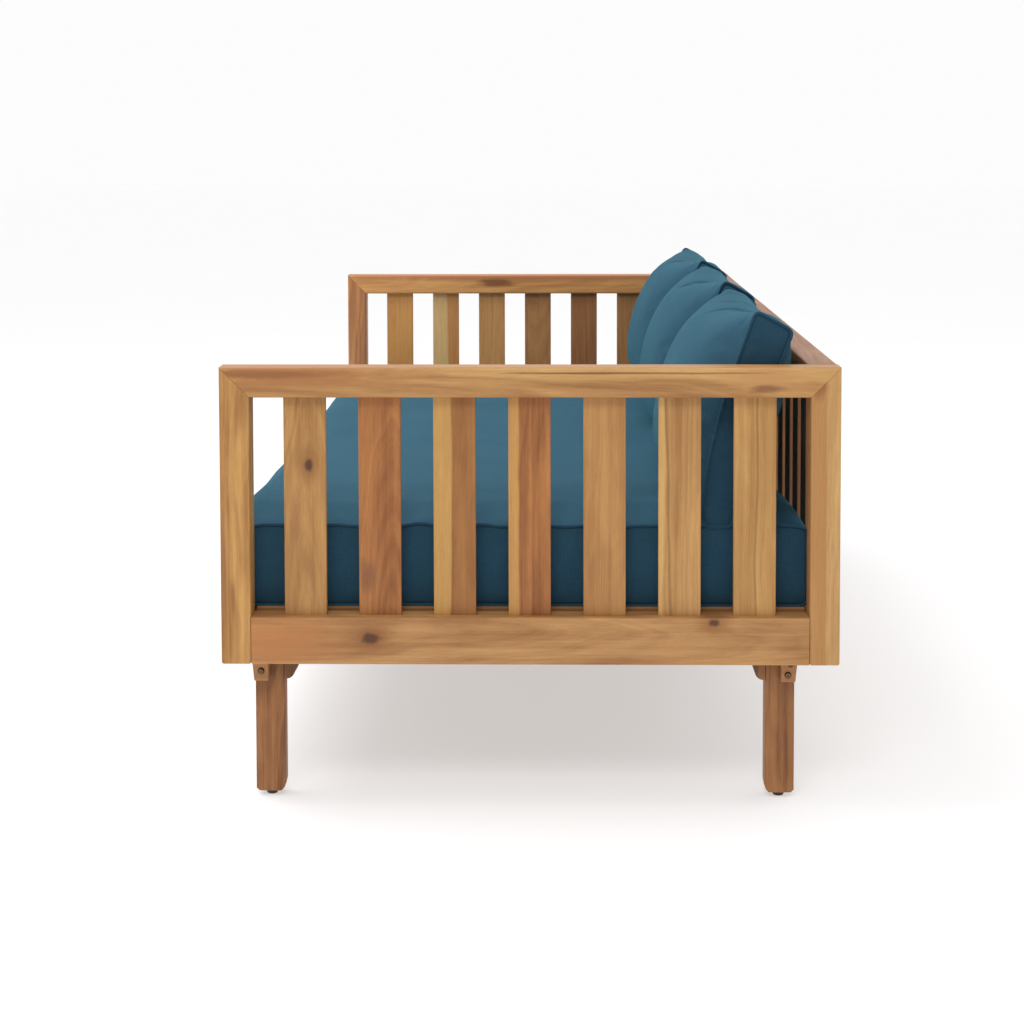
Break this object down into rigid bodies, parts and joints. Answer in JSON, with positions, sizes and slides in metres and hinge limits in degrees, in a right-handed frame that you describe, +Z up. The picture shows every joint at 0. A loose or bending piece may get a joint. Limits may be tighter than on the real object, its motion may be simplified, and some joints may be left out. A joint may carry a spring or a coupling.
{
  "type": "daybed",
  "caption": "Outdoor hardwood daybed with slatted ends and back, a long seat mattress and a row of leaning back cushions on block legs.",
  "frame": {"origin": "on the floor, at the middle of the daybed's box in plan", "axes": "+X along the length to the right-hand end of somebody facing the seat, +Y to the slatted back, +Z up"},
  "size_m": [1.96, 0.905, 0.7265],
  "materials": {
    "frame_wood": "oiled golden brown hardwood, satin",
    "slat_wood": "oiled hardwood with strong streaks, satin",
    "leg_wood": "oiled hardwood, satin",
    "deck_wood": "plain oiled hardwood",
    "glide_plastic": "dark brown moulded plastic",
    "seat_fabric": "dark teal woven outdoor polyester with piped edges",
    "back_fabric": "dark teal woven outdoor polyester with piped edges"
  },
  "bodies": {
    "frame": {"right_end_top_rail": "frame_wood", "right_end_bottom_rail": "frame_wood", "right_end_front_post": "frame_wood", "right_end_back_post": "frame_wood", "left_end_top_rail": "frame_wood", "left_end_bottom_rail": "frame_wood", "left_end_front_post": "frame_wood", "left_end_back_post": "frame_wood", "back_top_rail": "frame_wood", "back_bottom_rail": "frame_wood", "front_rail": "frame_wood", "right_end_slat_1": "slat_wood", "right_end_slat_2": "slat_wood", "right_end_slat_3": "slat_wood", "right_end_slat_4": "slat_wood", "right_end_slat_5": "slat_wood", "right_end_slat_6": "slat_wood", "right_end_slat_7": "slat_wood", "left_end_slat_1": "slat_wood", "left_end_slat_2": "slat_wood", "left_end_slat_3": "slat_wood", "left_end_slat_4": "slat_wood", "left_end_slat_5": "slat_wood", "left_end_slat_6": "slat_wood", "left_end_slat_7": "slat_wood", "back_slat_01": "slat_wood", "back_slat_02": "slat_wood", "back_slat_03": "slat_wood", "back_slat_04": "slat_wood", "back_slat_05": "slat_wood", "back_slat_06": "slat_wood", "back_slat_07": "slat_wood", "back_slat_08": "slat_wood", "back_slat_09": "slat_wood", "back_slat_10": "slat_wood", "back_slat_11": "slat_wood", "back_slat_12": "slat_wood", "back_slat_13": "slat_wood", "back_slat_14": "slat_wood", "back_slat_15": "slat_wood", "back_slat_16": "slat_wood", "back_slat_17": "slat_wood", "right_front_leg": "leg_wood", "right_back_leg": "leg_wood", "left_front_leg": "leg_wood", "left_back_leg": "leg_wood", "right_front_leg_block": "leg_wood", "right_back_leg_block": "leg_wood", "left_front_leg_block": "leg_wood", "left_back_leg_block": "leg_wood", "right_front_leg_glide": "glide_plastic", "right_back_leg_glide": "glide_plastic", "left_front_leg_glide": "glide_plastic", "left_back_leg_glide": "glide_plastic", "seat_deck": "deck_wood", "centre_beam": "deck_wood"},
    "seat_cushion": {"seat_cushion": "seat_fabric"},
    "left_back_cushion": {"left_back_cushion": "back_fabric"},
    "middle_back_cushion": {"middle_back_cushion": "back_fabric"},
    "right_back_cushion": {"right_back_cushion": "back_fabric"}
  },
  "joints": [
    {"name": "seat_cushion_lift", "type": "slide", "parent": "frame", "child": "seat_cushion", "axis": [0, 0, 1], "range_m": [0, 0.45]},
    {"name": "left_back_cushion_lift", "type": "slide", "parent": "seat_cushion", "child": "left_back_cushion", "axis": [0, 0, 1], "range_m": [0, 0.35]},
    {"name": "middle_back_cushion_lift", "type": "slide", "parent": "seat_cushion", "child": "middle_back_cushion", "axis": [0, 0, 1], "range_m": [0, 0.35]},
    {"name": "right_back_cushion_lift", "type": "slide", "parent": "seat_cushion", "child": "right_back_cushion", "axis": [0, 0, 1], "range_m": [0, 0.35]}
  ]
}
